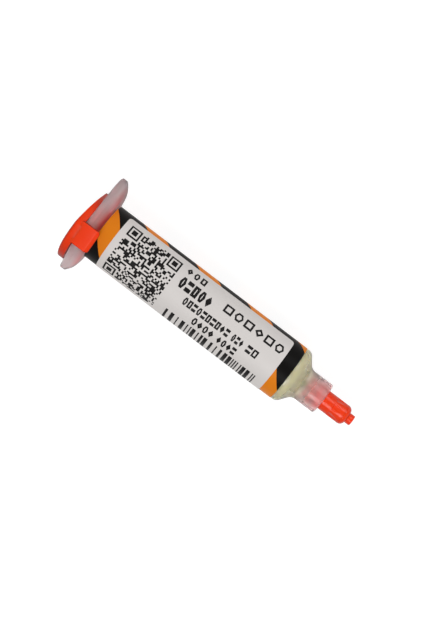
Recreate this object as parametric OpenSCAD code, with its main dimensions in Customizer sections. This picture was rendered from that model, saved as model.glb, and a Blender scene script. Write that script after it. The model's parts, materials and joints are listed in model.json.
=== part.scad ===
// A filled ten millilitre flux syringe with a snap-on end cap and a screw-on tip cap.
// Sizes are in millimetres. Each piece is drawn along its own axis, u, which starts at the
// rear face of the finger flange and runs to the tip. lay_down() then lays the whole syringe
// on its lower clip and the front edge of its label, the way it comes to rest on a bench.

/* [Barrel] */
// Inside diameter of the bore
bore_d = 15.9; // [14.4:0.1:18]
// Wall thickness of the barrel
barrel_wall = 1.3; // [0.9:0.05:1.6]
// Length from the rear face of the flange to where the shoulder starts to turn in
barrel_l = 75.8; // [65:0.1:100]
// Length of the shoulder along the axis
shoulder_l = 4.6; // [4:0.1:6]
// Radius of the rounding where the wall turns into the shoulder
shoulder_round = 3; // [1.5:0.1:3.5]
// Length of the conical front of the bore
bore_cone_l = 4.3; // [3.6:0.1:4.8]
// Radius of the bore where its front turns in towards the nozzle
bore_neck_r = 4.3; // [3:0.1:5]
// Distance from the end of the shoulder back to that turn
bore_neck_setback = 1.1; // [0.8:0.1:2]
// How far the straight bore runs past the start of the shoulder
bore_lead = 0.5; // [0:0.1:1]
// Chamfer round the rear mouth of the bore
mouth_chamfer = 0.4; // [0.2:0.1:0.7]

/* [Finger flange] */
// Thickness of the flange at its rim
flange_t = 2.2; // [1.8:0.1:3]
// Length of the flange across the tips of its two ears
flange_l = 34.6; // [32:0.1:38]
// Width of the flange across its two flats
flange_w = 23.2; // [22.4:0.1:24]
// Diameter of the round middle, which the flats cut
flange_mid_d = 24.4; // [24.1:0.1:26]
// Radius of the end of each ear
ear_r = 5.6; // [4:0.1:7]
// Extra thickness that the flange gains where it meets the barrel
flange_swell = 2.1; // [1:0.1:2.2]
// Chamfer round the rim of the flange
flange_edge = 0.45; // [0.2:0.05:0.8]

/* [Luer lock nose] */
// Outside diameter of the lock collar
collar_d = 10.3; // [9.9:0.1:11.5]
// Length of the lock collar from the shoulder to its mouth
collar_l = 8.1; // [7:0.1:9]
// Inside diameter of the lock collar at the root of its thread
collar_bore_d = 8.2; // [8:0.05:8.6]
// Solid floor between the end of the shoulder and the inside of the collar
collar_floor = 0.8; // [0.5:0.1:1.2]
// Radius of the rounding at the mouth of the collar
collar_edge = 0.6; // [0.2:0.05:0.7]
// How far the nozzle stands out of the collar
nozzle_reach = 2.1; // [1.5:0.1:3]
// Outside diameter of the nozzle at its tip
nozzle_tip_d = 4; // [3.9:0.01:4.05]
// Taper of the nozzle, in percent of its length added to the diameter
nozzle_taper = 6; // [5:0.1:7]
// Diameter of the hole through the nozzle
nozzle_bore_d = 2.1; // [1.5:0.1:2.4]

/* [Piston and flux] */
// Distance from the rear face of the flange to the back of the piston
piston_u = 14; // [13:0.1:24]
// Length of the straight skirt of the piston
piston_skirt = 8; // [7:0.1:12]
// Length of the conical front of the piston
piston_cone_l = 3.9; // [3:0.1:4.2]
// Diameter of the flat at the point of the cone
piston_tip_d = 3.2; // [2:0.1:5]
// Width of each of the two wiping bands round the skirt
wiper_w = 1.6; // [1:0.1:2.5]
// Depth of the relief between the wiping bands
wiper_relief = 0.45; // [0.2:0.05:0.8]
// Wall thickness of the piston
piston_wall = 1.2; // [0.8:0.1:1.6]
// Distance from the end of the nozzle back to the flux
flux_setback = 0.6; // [0.3:0.1:3]

/* [End cap] */
// Thickness of the disc of the end cap along its middle
cap_t = 2.8; // [2.2:0.1:3.2]
// Radius of the round ends of the disc
cap_r = 11.3; // [10.8:0.1:12.5]
// Distance from the axis to the centre of each round end, towards a clip
cap_stretch = 1.8; // [0:0.1:1.8]
// How far the disc is set off the axis, towards the ear at -Y, to leave a lip for the thumb
cap_lip = 2.1; // [0:0.1:2.3]
// Radius of the edge round the outer face of the disc
cap_edge = 1.1; // [0.4:0.05:1.3]
// Radius of the vault of the outer face, which thins the disc towards the two ears
vault_r = 62; // [45:1:120]
// How far the plug reaches into the bore
plug_l = 6; // [4:0.1:7]
// Wall thickness of the plug
plug_wall = 1.2; // [0.8:0.1:2]
// Width of each of the two clips
clip_w = 7.8; // [6:0.1:10]
// Thickness of each clip
clip_t = 1.1; // [0.9:0.05:1.6]
// How far the clips reach past the rear face of the flange
clip_reach = 5.6; // [5:0.1:7]
// Depth of the bevel on the outside of the end of each clip
clip_bevel = 0.45; // [0.2:0.05:0.6]
// Length of that bevel along the clip
clip_bevel_l = 1.2; // [0.5:0.1:1.6]
// Radius of the two corners at the end of each clip
clip_round = 1; // [0.5:0.1:2]
// Radius of the corners where the edge of the disc runs out into a clip
clip_root_r = 2; // [1.4:0.1:2.8]
// Height of the snap bead inside each clip
bead_h = 0.35; // [0.2:0.05:0.4]
// Length of the snap bead along the clip
bead_l = 1.4; // [1:0.1:1.8]

/* [Tip cap] */
// Outside diameter of the tip cap
tip_d = 6.44; // [6.2:0.02:6.8]
// Length of the body of the tip cap
tip_l = 15.6; // [14:0.1:18]
// Length of the cone at the front of the body
tip_cone_l = 1.6; // [0.8:0.1:1.9]
// How far that cone draws in to the stub
tip_cone_in = 1.3; // [0.6:0.1:1.5]
// Diameter of the stub on the front of the body
stub_d = 3.4; // [2.6:0.1:3.5]
// Length of the stub
stub_l = 1.8; // [1:0.1:4]
// Chamfer on the rear rim of the body and on the end of the stub
tip_chamfer = 0.3; // [0.1:0.05:0.4]
// Diameter across the two locking lugs
lug_d = 7.8; // [7.4:0.05:7.85]
// Width of each lug along the axis
lug_w = 1.35; // [1:0.05:1.6]
// Distance from the rear rim of the tip cap to the lugs
lug_setback = 0.15; // [0.1:0.05:0.5]
// Angle that each lug spans round the axis
lug_span = 130; // [90:5:150]
// Distance that a lug's thread advances in one turn
lug_lead = 5; // [4:0.1:5.5]
// Angle of the first lug's middle from straight up, turned towards +Y
lug_turn = 22; // [0:1:90]
// Number of grip flutes round the body
flutes = 6; // [3:1:8]
// Length of each grip flute
flute_l = 3.6; // [2:0.1:4]
// Depth of a grip flute where it starts
flute_depth = 0.5; // [0.2:0.05:0.7]
// Radius of a grip flute where it runs out
flute_r = 3; // [2:0.1:5]
// Distance from the run-out of the flutes to the front of the body
flute_setback = 2.2; // [1.5:0.1:3]

/* [Labels] */
// Thickness of the wrap label and of the code sticker
film_t = 0.1; // [0.05:0.01:0.2]
// Distance from the rear face of the flange to the wrap label
label_u = 4.5; // [4.5:0.1:8]
// Length of the wrap label
label_l = 70.9; // [40:0.1:71]
// Distance from the start of the wrap label to the code sticker
sticker_u = 4.6; // [2:0.1:8]
// Length of the code sticker
sticker_l = 62; // [20:0.1:62]
// Height of the code sticker, measured round the barrel
sticker_h = 30; // [15:0.5:45]
// Corner radius of the code sticker
sticker_round = 1.2; // [0.5:0.1:3]
// Angle of the sticker's middle from straight up, turned towards +Y
sticker_turn = -8; // [-30:1:30]

/* [Fits] */
// Gap between the end cap and the rear face of the flange
cap_gap = 0.05; // [0.02:0.01:0.2]
// Gap between a clip and the flat of the flange that it grips
clip_gap = 0.45; // [0.42:0.01:0.8]
// Radial gap between the plug of the end cap and the bore
plug_gap = 0.1; // [0.03:0.01:0.1]
// Radial gap between the piston and the bore
piston_gap = 0.05; // [0.02:0.01:0.1]
// Gap between the flux and what holds it
flux_gap = 0.03; // [0.02:0.01:0.1]
// Gap that the glue fills under the wrap label, and under the code sticker
film_gap = 0.02; // [0.01:0.01:0.05]
// Radial gap between the nozzle and the socket of the tip cap
socket_gap = 0.07; // [0.03:0.01:0.12]
// Gap between the end of the nozzle and the bottom of the socket
socket_end_gap = 0.6; // [0.3:0.1:1.5]
// Gap between the floor of the collar and the tip cap
tip_gap = 1; // [0.5:0.1:1.5]

/* [Hidden] */

// Facets round the large and the small pieces, on the blended shapes and round the cap's vault
big_fn = 96;
small_fn = 64;
blend_fn = 32;
vault_fn = 180;
// Segments in one rounded edge
edge_steps = 6;
// Steps in which the front of the flange swells towards the barrel
swell_steps = 4;
// Steps in which a locking lug climbs
lug_steps = 13;
// Overshoot that carries a cut past the face that it opens
cut = 1;
// How far a joined shape sinks into the one that carries it
sink = 0.3;
// What a rounded corner's radius gains so that its cut crosses the edges that it joins
corner_ease = 0.01;

bore_r = bore_d / 2;
barrel_r = bore_r + barrel_wall;
bore_l = barrel_l + bore_lead;
bore_cone_end = bore_l + bore_cone_l;
nose_u = barrel_l + shoulder_l;
bore_neck_u = nose_u - bore_neck_setback;
collar_r = collar_d / 2;
collar_bore_r = collar_bore_d / 2;
collar_floor_u = nose_u + collar_floor;
collar_end = nose_u + collar_l;
nozzle_end = collar_end + nozzle_reach;
nozzle_tip_r = nozzle_tip_d / 2;
nozzle_bore_r = nozzle_bore_d / 2;
flare = nozzle_taper / 200;

flange_mid_r = flange_mid_d / 2;
ear_u = flange_l / 2 - ear_r;

piston_r = bore_r - piston_gap;
piston_front = piston_u + piston_skirt;
piston_tip_u = piston_front + piston_cone_l;
piston_tip_r = piston_tip_d / 2;
flux_r = bore_r - flux_gap;

clip_in = flange_w / 2 + clip_gap;
clip_out = clip_in + clip_t;
plug_r = bore_r - plug_gap;

tip_u = collar_floor_u + tip_gap;
tip_r = tip_d / 2;
tip_end = tip_u + tip_l + stub_l;
stub_r = stub_d / 2;
lug_r = lug_d / 2;
flute_end = tip_u + tip_l - flute_setback;
socket_end = nozzle_end + socket_end_gap;

label_in = barrel_r + film_gap;
label_r = label_in + film_t;
sticker_in = label_r + film_gap;
sticker_r = sticker_in + film_t;
label_end = label_u + label_l;
sticker_mid_u = label_u + sticker_u + sticker_l / 2;
sticker_span = sticker_h / sticker_r * 180 / PI;
sticker_round_span = sticker_round / sticker_r * 180 / PI;

// At rest the syringe leans on the end of its lower clip and on the front edge of the label.
clip_corner_u = clip_reach - clip_bevel_l;
rest_pitch = atan((clip_out - label_r) / (label_end - clip_corner_u));
rest_h = clip_corner_u * sin(rest_pitch) + clip_out * cos(rest_pitch);
rear_x = -cap_t * cos(rest_pitch) - (clip_out - cap_edge) * sin(rest_pitch);
front_x = tip_end * cos(rest_pitch) + stub_r * sin(rest_pitch);

// Points on an arc about c from angle a to angle b.
function arc(c, r, a, b) = [
    for (k = [0:edge_steps]) let (t = a + (b - a) * k / edge_steps) c + r * [cos(t), sin(t)]
];

// The angle at which the shoulder's rounding, centred at c, runs straight on to the point p.
function tangent_angle(c, r, p) =
    let (d = p - c) atan2(d[1], d[0]) + acos(r / norm(d));

// Radius of the nozzle's outside at a place along the axis.
function nozzle_r(u) = nozzle_tip_r + (nozzle_end - u) * flare;

// Turns a shape drawn up the Z axis so that it runs along the syringe.
module along_axis() {
    rotate([0, 90, 0]) children();
}

// Lays the syringe on its clip and its label, centred over the origin.
module lay_down() {
    translate([-(rear_x + front_x) / 2, 0, rest_h]) rotate([0, rest_pitch, 0]) along_axis() children();
}

// A ring or disc turned about the axis, from points given as radius and place along the axis.
module turned(points, fn = big_fn) {
    rotate_extrude($fn = fn) polygon(points);
}

// Outside of the tube, the shoulder and the lock collar.
module barrel_outside() {
    centre = [barrel_r - shoulder_round, barrel_l];
    a = 90 - tangent_angle([centre[1], centre[0]], shoulder_round, [nose_u, collar_r]);
    turned(concat(
        [[0, 0], [barrel_r, 0]],
        arc(centre, shoulder_round, 0, a),
        [[collar_r, nose_u]],
        arc([collar_r - collar_edge, collar_end - collar_edge], collar_edge, 0, 90),
        [[0, collar_end]]
    ));
}

// Outline of the flange: a round middle with two flats, and an ear each way.
module flange_outline(inset) {
    intersection() {
        hull() {
            circle(r = flange_mid_r - inset, $fn = small_fn);
            for (side = [-1, 1]) {
                translate([0, side * ear_u]) circle(r = ear_r - inset, $fn = blend_fn);
            }
        }
        square([flange_w - 2 * inset, flange_l], center = true);
    }
}

// The flange, chamfered round its rim and swelling in front towards the barrel.
module flange() {
    hull() {
        translate([0, 0, flange_edge]) linear_extrude(flange_t - 2 * flange_edge) flange_outline(0);
        linear_extrude(flange_t) flange_outline(flange_edge);
        for (k = [1:swell_steps - 1]) {
            linear_extrude(flange_t + flange_swell * sin(90 * k / swell_steps)) {
                flange_outline(ear_r * k / swell_steps);
            }
        }
        cylinder(r = barrel_r - sink, h = flange_t + flange_swell, $fn = small_fn);
    }
}

// The male taper that a needle or the tip cap fits over.
module nozzle() {
    base_u = collar_floor_u - sink;
    translate([0, 0, base_u]) {
        cylinder(r1 = nozzle_r(base_u), r2 = nozzle_tip_r, h = nozzle_end - base_u, $fn = small_fn);
    }
}

// Everything that is hollow inside the barrel, from its rear mouth to the end of the nozzle.
module barrel_bore() {
    turned([
        [0, -cut],
        [bore_r + mouth_chamfer + cut, -cut],
        [bore_r, mouth_chamfer],
        [bore_r, bore_l],
        [bore_neck_r, bore_neck_u],
        [nozzle_bore_r, bore_cone_end],
        [nozzle_bore_r, nozzle_end + cut],
        [0, nozzle_end + cut]
    ]);
}

module barrel() {
    color([0.86, 0.84, 0.78, 0.6]) lay_down() difference() {
        union() {
            difference() {
                union() {
                    barrel_outside();
                    flange();
                }
                translate([0, 0, collar_floor_u]) {
                    cylinder(r = collar_bore_r, h = collar_l + cut, $fn = big_fn);
                }
            }
            nozzle();
        }
        barrel_bore();
    }
}

// The moulded wiper that pushes the flux: two wiping bands, a cone in front, hollow behind.
module piston() {
    relief_r = piston_r - wiper_relief;
    inner_r = relief_r - piston_wall;
    color([0.93, 0.93, 0.9]) lay_down() turned([
        [inner_r, piston_u],
        [piston_r - wiper_relief / 2, piston_u],
        [piston_r, piston_u + wiper_relief],
        [piston_r, piston_u + wiper_w],
        [relief_r, piston_u + wiper_w + wiper_relief],
        [relief_r, piston_front - wiper_w - wiper_relief],
        [piston_r, piston_front - wiper_w],
        [piston_r, piston_front],
        [piston_tip_r, piston_tip_u],
        [0, piston_tip_u],
        [0, piston_tip_u - piston_wall],
        [piston_tip_r - sink, piston_tip_u - piston_wall],
        [inner_r, piston_front - piston_wall / 2]
    ]);
}

// The flux, from the cone of the piston to just short of the end of the nozzle.
module flux_paste() {
    color([0.78, 0.72, 0.5]) lay_down() turned([
        [0, piston_tip_u + piston_gap],
        [piston_tip_r, piston_tip_u + piston_gap],
        [flux_r, piston_front + piston_gap],
        [flux_r, bore_l - flux_gap],
        [bore_neck_r - flux_gap, bore_neck_u - flux_gap],
        [nozzle_bore_r - flux_gap, bore_cone_end - flux_gap],
        [nozzle_bore_r - flux_gap, nozzle_end - flux_setback],
        [0, nozzle_end - flux_setback]
    ]);
}

// One layer of the disc of the end cap: its round ends, and the corners that carry the clips.
module cap_layer(inset, h) {
    for (side = [-1, 1]) {
        translate([side * cap_stretch, -cap_lip, 0]) cylinder(r = cap_r - inset, h = h, $fn = small_fn);
        for (edge = [-1, 1]) {
            translate([side * (clip_out - clip_root_r), edge * (clip_w / 2 - clip_root_r), 0]) {
                cylinder(r = clip_root_r - inset, h = h, $fn = blend_fn);
            }
        }
    }
}

// The disc of the end cap, with a rounded edge round its outer face.
module cap_disc() {
    translate([0, 0, cap_edge - cap_t]) hull() {
        cap_layer(0, cap_t - cap_edge - cap_gap);
        for (k = [1:edge_steps]) {
            let (a = 90 * k / edge_steps, drop = cap_edge * sin(a)) {
                translate([0, 0, -drop]) cap_layer(cap_edge * (1 - cos(a)), drop);
            }
        }
    }
}

// The vault that bounds the outer face: a wide cylinder that lies across the two clips.
module cap_vault() {
    translate([0, -cap_lip, vault_r - cap_t]) rotate([0, 90, 0]) {
        cylinder(r = vault_r, h = 2 * clip_out + cut, center = true, $fn = vault_fn);
    }
}

// One clip: a flat tongue with a snap bead behind the flange, and a bevelled, rounded end.
module clip() {
    bead_u = clip_reach - bead_l;
    intersection() {
        rotate([90, 0, 0]) linear_extrude(clip_w, center = true) polygon([
            [clip_in, -cap_gap - sink],
            [clip_in, bead_u - bead_h],
            [clip_in - bead_h, bead_u],
            [clip_in - bead_h, clip_reach - bead_l / 2],
            [clip_in, clip_reach],
            [clip_out - clip_bevel, clip_reach],
            [clip_out, clip_corner_u],
            [clip_out, -cap_gap - sink]
        ]);
        union() {
            translate([0, -clip_w / 2, -cut]) cube([clip_out + cut, clip_w, clip_reach + cut - clip_round]);
            translate([0, clip_round - clip_w / 2, 0]) {
                cube([clip_out + cut, clip_w - 2 * clip_round, clip_reach + cut]);
            }
            for (edge = [-1, 1]) {
                translate([0, edge * (clip_w / 2 - clip_round), clip_reach - clip_round]) rotate([0, 90, 0]) {
                    cylinder(r = clip_round, h = clip_out + cut, $fn = blend_fn);
                }
            }
        }
    }
}

module end_cap() {
    color([0.85, 0.13, 0.07]) lay_down() {
        intersection() {
            cap_disc();
            cap_vault();
        }
        turned([
            [plug_r - plug_wall, -cap_gap - sink],
            [plug_r, -cap_gap - sink],
            [plug_r, plug_l - plug_wall / 2],
            [plug_r - plug_wall / 2, plug_l],
            [plug_r - plug_wall, plug_l]
        ]);
        for (side = [0, 180]) {
            rotate([0, 0, side]) clip();
        }
    }
}

// Part of a ring from angle a and place u, over a span of angle and a length along the axis.
module ring_patch(a, span, u, l, r_in, r_out) {
    rotate([0, 0, a]) rotate_extrude(angle = span, $fn = big_fn) {
        translate([r_in, u]) square([r_out - r_in, l]);
    }
}

// A locking lug of the tip cap: a rib that climbs the body in small steps along its lead.
module lug() {
    step = lug_span / lug_steps;
    for (k = [0:lug_steps - 1]) {
        ring_patch(k * step - lug_span / 2, step, lug_lead * k * step / 360, lug_w, tip_r - sink, lug_r);
    }
}

// The shallow flutes that give the fingers a hold, each wide behind and running out in front.
module grip_flutes() {
    reach = tip_r + flute_r;
    for (k = [0:flutes - 1]) {
        rotate([0, 0, 180 - lug_turn + 360 * k / flutes]) translate([reach, 0, flute_end - flute_l]) {
            cylinder(r1 = flute_r + flute_depth, r2 = flute_r, h = flute_l, $fn = small_fn);
        }
    }
}

module tip_cap() {
    front = tip_u + tip_l;
    color([0.85, 0.13, 0.07]) lay_down() {
        difference() {
            turned(concat(
                [[0, tip_u], [tip_r - tip_chamfer, tip_u], [tip_r, tip_u + tip_chamfer]],
                [[tip_r, front - tip_cone_l], [tip_r - tip_cone_in, front], [stub_r, front]],
                [[stub_r, tip_end - tip_chamfer], [stub_r - tip_chamfer, tip_end], [0, tip_end]]
            ), small_fn);
            translate([0, 0, tip_u - cut]) {
                cylinder(
                    r1 = nozzle_r(tip_u - cut) + socket_gap,
                    r2 = nozzle_r(socket_end) + socket_gap,
                    h = socket_end - tip_u + cut,
                    $fn = small_fn
                );
            }
            grip_flutes();
        }
        for (side = [0, 180]) {
            rotate([0, 0, 180 - lug_turn + side]) translate([0, 0, tip_u + lug_setback]) lug();
        }
    }
}

module wrap_label() {
    color([0.13, 0.12, 0.11]) lay_down() turned([
        [label_in, label_u],
        [label_r, label_u],
        [label_r, label_end],
        [label_in, label_end]
    ]);
}

// What is cut away to round one corner of the sticker: turn and end are each -1 or 1.
module sticker_corner(turn, end) {
    a = 180 - sticker_turn + turn * (sticker_span / 2 - sticker_round_span);
    u = sticker_mid_u + end * (sticker_l / 2 - sticker_round);
    difference() {
        ring_patch(
            a + min(turn, 0) * 2 * sticker_round_span, 2 * sticker_round_span,
            u + min(end, 0) * 2 * sticker_round, 2 * sticker_round,
            sticker_in - sink, sticker_r + sink
        );
        rotate([0, 0, a]) translate([0, 0, u]) rotate([0, 90, 0]) {
            cylinder(r = sticker_round + corner_ease, h = sticker_r + cut, $fn = small_fn);
        }
    }
}

module code_sticker() {
    color([0.9, 0.88, 0.86]) lay_down() difference() {
        ring_patch(
            180 - sticker_turn - sticker_span / 2, sticker_span,
            sticker_mid_u - sticker_l / 2, sticker_l,
            sticker_in, sticker_r
        );
        for (turn = [-1, 1], end = [-1, 1]) {
            sticker_corner(turn, end);
        }
    }
}

barrel();
piston();
flux_paste();
end_cap();
tip_cap();
wrap_label();
code_sticker();
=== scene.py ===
# %% [markdown]
# # Dressing a flux syringe
# A CAD model of a filled flux syringe is already built and packed. This lesson gives it the skin
# of the real thing: hazy natural polypropylene with a real thread inside the collar, red caps, a
# striped label and a printed sticker.
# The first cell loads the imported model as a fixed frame. Everything made later is fitted to that
# frame, so nothing here moves or resizes a CAD part.

# %% Load the frame
import json
import math

import bmesh
import bpy
import numpy as np
from mathutils import Matrix, Vector


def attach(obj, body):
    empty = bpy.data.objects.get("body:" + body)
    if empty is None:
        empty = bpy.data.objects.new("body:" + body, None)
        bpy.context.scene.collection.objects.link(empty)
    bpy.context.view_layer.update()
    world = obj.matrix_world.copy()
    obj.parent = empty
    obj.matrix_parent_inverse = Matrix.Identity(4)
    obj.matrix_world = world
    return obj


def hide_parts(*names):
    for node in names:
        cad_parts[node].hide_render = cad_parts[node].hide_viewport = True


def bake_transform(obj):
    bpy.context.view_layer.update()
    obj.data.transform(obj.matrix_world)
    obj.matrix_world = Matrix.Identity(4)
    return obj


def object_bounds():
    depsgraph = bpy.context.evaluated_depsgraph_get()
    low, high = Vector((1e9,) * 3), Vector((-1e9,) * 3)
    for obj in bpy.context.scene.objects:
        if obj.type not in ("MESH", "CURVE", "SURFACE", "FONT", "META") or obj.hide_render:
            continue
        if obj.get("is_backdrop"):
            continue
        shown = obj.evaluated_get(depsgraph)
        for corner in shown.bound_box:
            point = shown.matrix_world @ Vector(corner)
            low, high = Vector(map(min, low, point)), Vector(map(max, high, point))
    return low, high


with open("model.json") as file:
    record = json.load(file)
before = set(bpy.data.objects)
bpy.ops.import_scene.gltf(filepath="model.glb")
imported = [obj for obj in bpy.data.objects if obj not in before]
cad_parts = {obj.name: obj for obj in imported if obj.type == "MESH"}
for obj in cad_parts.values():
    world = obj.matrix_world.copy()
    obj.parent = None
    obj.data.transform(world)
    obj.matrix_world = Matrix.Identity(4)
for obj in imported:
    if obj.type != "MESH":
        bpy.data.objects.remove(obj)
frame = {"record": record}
cad_low, cad_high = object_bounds()
mounts = {mount["name"]: mount for mount in frame["record"]["mounts"]}
print("CAD box, mm:", [round(side * 1000, 1) for side in cad_high - cad_low])

# %% [markdown]
# ## One frame of millimetres
# The syringe rests a few degrees nose down, so the scene's axes don't run along it. Shapes are far
# easier to write along the barrel: u from the rear face of the finger flange to the tip, y along
# the ears, w towards the upper clip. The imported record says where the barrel's axis lies, which
# is enough to build that frame without copying a single rotated coordinate.
# Angles round the barrel are called beta: 0 is straight up and 90 degrees points along the ears.

# %% The syringe's own axes
MM = 0.001
LABEL_U, LABEL_END = 4.5, 75.4
grip = mounts["barrel_grip"]
ALONG = np.array(grip["axis"]) / np.linalg.norm(grip["axis"])
EARS = np.array([0.0, 1.0, 0.0])
UPRIGHT = np.cross(ALONG, EARS)
AXES = np.array([ALONG, EARS, UPRIGHT])
REAR = np.array(grip["pos_m"]) - ALONG * (LABEL_U + LABEL_END) / 2 * MM
PITCH = math.atan2(-ALONG[2], ALONG[0])


def placed(points):
    """Scene metres of points given as (u, y, w) in millimetres: the rear face's middle plus
    u, y and w times their own directions."""
    return REAR + np.asarray(points) @ AXES * MM


print("the barrel leans nose down by", round(math.degrees(PITCH), 2), "degrees")

# %% [markdown]
# ## The camera
# The photograph was taken from about 440 mm with a long lens, square on to the barrel, with the
# syringe rolled a little about its own axis and the picture turned so that it points down and to
# the right. Each of those is one number here. The sensor is 36 mm along the picture's long side.

# %% Place the camera
CAMERA_DISTANCE = 440.0
CAMERA_ROLL = math.radians(21.5)
PICTURE_TURN = math.radians(37.29)
AIM_U, AIM_DOWN = 45.97, 0.53
LENS, SENSOR = 82.6, 36.0
NEAREST_M = 0.01


def added(name, data):
    """A new object that shows this data, linked into the scene."""
    made = bpy.data.objects.new(name, data)
    bpy.context.scene.collection.objects.link(made)
    return made


to_camera = math.sin(CAMERA_ROLL) * EARS + math.cos(CAMERA_ROLL) * UPRIGHT
across = math.cos(CAMERA_ROLL) * EARS - math.sin(CAMERA_ROLL) * UPRIGHT
picture_right = math.cos(PICTURE_TURN) * ALONG + math.sin(PICTURE_TURN) * across
picture_up = -math.sin(PICTURE_TURN) * ALONG + math.cos(PICTURE_TURN) * across
aim = REAR + (ALONG * AIM_U - across * AIM_DOWN) * MM

camera_data = bpy.data.cameras.new("camera")
camera_data.lens = LENS
camera_data.sensor_width = SENSOR
camera_data.clip_start = NEAREST_M
camera = added("camera", camera_data)
turn = Matrix((picture_right, picture_up, to_camera)).transposed().to_4x4()
camera.matrix_world = Matrix.Translation(Vector(aim + to_camera * CAMERA_DISTANCE * MM)) @ turn
bpy.context.scene.camera = camera
bpy.context.scene.view_settings.view_transform = "Standard"
print("camera at, mm:", [round(side / MM) for side in camera.location])

# %% [markdown]
# ## Surfaces from formulas
# Nearly every piece of a syringe is a path turned about the axis, with something that changes
# round it: ears, a thread, lugs, flutes. So a piece is a table of points, one row for each step
# of the path and one column for each angle. Whole tables are computed at once.
# The path's corners are eased first, because a moulded part has no knife edge and the eased
# corner is what catches the light. A Bevel modifier could do that, but it would also cut the
# thread.

# %% Paths and tables of points
def eased(corners, steps=4):
    """A path through corners (x, y, ease). Each is replaced by the curve (1-t)^2 start + 2t(1-t)
    corner + t^2 end, whose start lies ease mm before it and whose end lies ease mm after it. A
    corner with no ease stays one point."""
    places = np.array([corner[:2] for corner in corners], float)
    path = []
    for k, corner in enumerate(places):
        ease = corners[k][2]
        if ease == 0 or k in (0, len(corners) - 1):
            path.append(corner[None])
            continue
        back, ahead = places[k - 1] - corner, places[k + 1] - corner
        start = corner + back / np.linalg.norm(back) * ease
        end = corner + ahead / np.linalg.norm(ahead) * ease
        t = np.linspace(0, 1, steps + 1)[:, None]
        path.append((1 - t) ** 2 * start + 2 * t * (1 - t) * corner + t ** 2 * end)
    return np.vstack(path)


def turned(radius, u, beta):
    """The table of points (u, radius x sin beta, radius x cos beta). radius and u are each a
    column or a whole table, and beta is the row of angles."""
    radius, u, beta = np.broadcast_arrays(radius, u, beta)
    return np.stack([u, radius * np.sin(beta), radius * np.cos(beta)], axis=-1)


def angles(count):
    """count even angles round the barrel, from -pi up to just before pi."""
    return np.linspace(-math.pi, math.pi, count, endpoint=False)


right_angle = eased([(0, 0, 0), (5, 0, 1), (5, 5, 0)])
print("a corner eased by 1 mm becomes", len(right_angle) - 2, "points")

# %% [markdown]
# ## From tables to pieces
# One helper joins the points of a table into a closed mesh: a ring that ends where it began, or a
# shape with a pole at each end. A second one makes the object. It smooths the faces but for the
# creases, turns them outward, hides the CAD pieces that it stands for and lets it ride the body
# that carries it. The object stays at the origin, so its place is in its mesh.

# %% Meshes and pieces
def shell(table, loop=False):
    """Points and faces of the closed surface through a table. loop joins its last row to its
    first; otherwise each end closes on a pole in the middle of its row."""
    rows, columns = table.shape[:2]
    index = np.arange(rows * columns).reshape(rows, columns)
    upper = np.roll(index, -1, axis=0) if loop else index[1:]
    lower = index if loop else index[:-1]
    sides = np.stack([lower, np.roll(lower, -1, 1), np.roll(upper, -1, 1), upper], -1)
    faces = sides.reshape(-1, 4).tolist()
    points = table.reshape(-1, 3)
    if not loop:
        points = np.vstack([points, table[0].mean(axis=0), table[-1].mean(axis=0)])
        for ring, pole in ((index[0], rows * columns), (index[-1][::-1], rows * columns + 1)):
            faces += np.stack([np.roll(ring, -1), ring, np.full(columns, pole)], -1).tolist()
    return points, faces


def piece(name, shells, material, body, stands_for, crease=35):
    """One object from closed shells: smooth but for creases, faces outward, riding its body."""
    points, faces = [], []
    for shell_points, shell_faces in shells:
        start = sum(len(block) for block in points)
        points.append(shell_points)
        faces += [[start + k for k in face] for face in shell_faces]
    mesh = bpy.data.meshes.new(name)
    mesh.from_pydata(placed(np.vstack(points)), [], faces)
    mesh.materials.append(material)
    work = bmesh.new()
    work.from_mesh(mesh)
    bmesh.ops.recalc_face_normals(work, faces=work.faces)
    work.to_mesh(mesh)
    work.free()
    mesh.shade_smooth()
    mesh.set_sharp_from_angle(angle=math.radians(crease))
    made = added(name, mesh)
    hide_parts(*stands_for)
    if body:
        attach(made, body)
    print(name + ":", sum(len(face) - 2 for face in faces), "triangles")
    return made


print("a shell through 3 rows of 8 points has", len(shell(np.zeros((3, 8, 3)))[1]), "faces")

# %% [markdown]
# ## Node helpers
# Every material is a small graph, and a graph reads best as plain lines that say what feeds what.
# One helper adds a node and sets or links its inputs. The short ones after it are for the nodes
# that come back all the time: a number worked out, a range moved, two colours mixed, a shader put
# out.

# %% Helpers for shader graphs
def add(tree, kind, inputs=None, **settings):
    """A new node of a kind. Inputs are values, or sockets to link, by input name or number."""
    node = tree.nodes.new(kind)
    for name, value in settings.items():
        setattr(node, name, value)
    for name, value in (inputs or {}).items():
        if isinstance(value, bpy.types.NodeSocket):
            tree.links.new(value, node.inputs[name])
        else:
            node.inputs[name].default_value = value
    return node


def number(tree, operation, *values):
    """The number that a Math node works out from values or sockets."""
    return add(tree, "ShaderNodeMath", dict(enumerate(values)), operation=operation).outputs[0]


def moved_range(tree, value, low, high, start=0.0, end=1.0):
    """low where value is start, high where it is end, and in proportion between them."""
    ends = {"From Min": start, "From Max": end, "To Min": low, "To Max": high}
    return add(tree, "ShaderNodeMapRange", {"Value": value, **ends}).outputs[0]


def mixed(tree, share, colour, other):
    """The first colour where share is 0 and the other where it is 1."""
    inputs = {0: share, 6: colour, 7: other}
    return add(tree, "ShaderNodeMix", inputs, data_type="RGBA").outputs[2]


def new_material(name):
    """An empty material and its node tree."""
    material = bpy.data.materials.new(name)
    material.use_nodes = True
    material.node_tree.nodes.clear()
    return material, material.node_tree


def put_out(tree, kind, inputs):
    """Adds a shader of a kind, with its inputs, as the surface of the material."""
    shader = add(tree, kind, inputs)
    add(tree, "ShaderNodeOutputMaterial", {"Surface": shader.outputs[0]})


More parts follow.
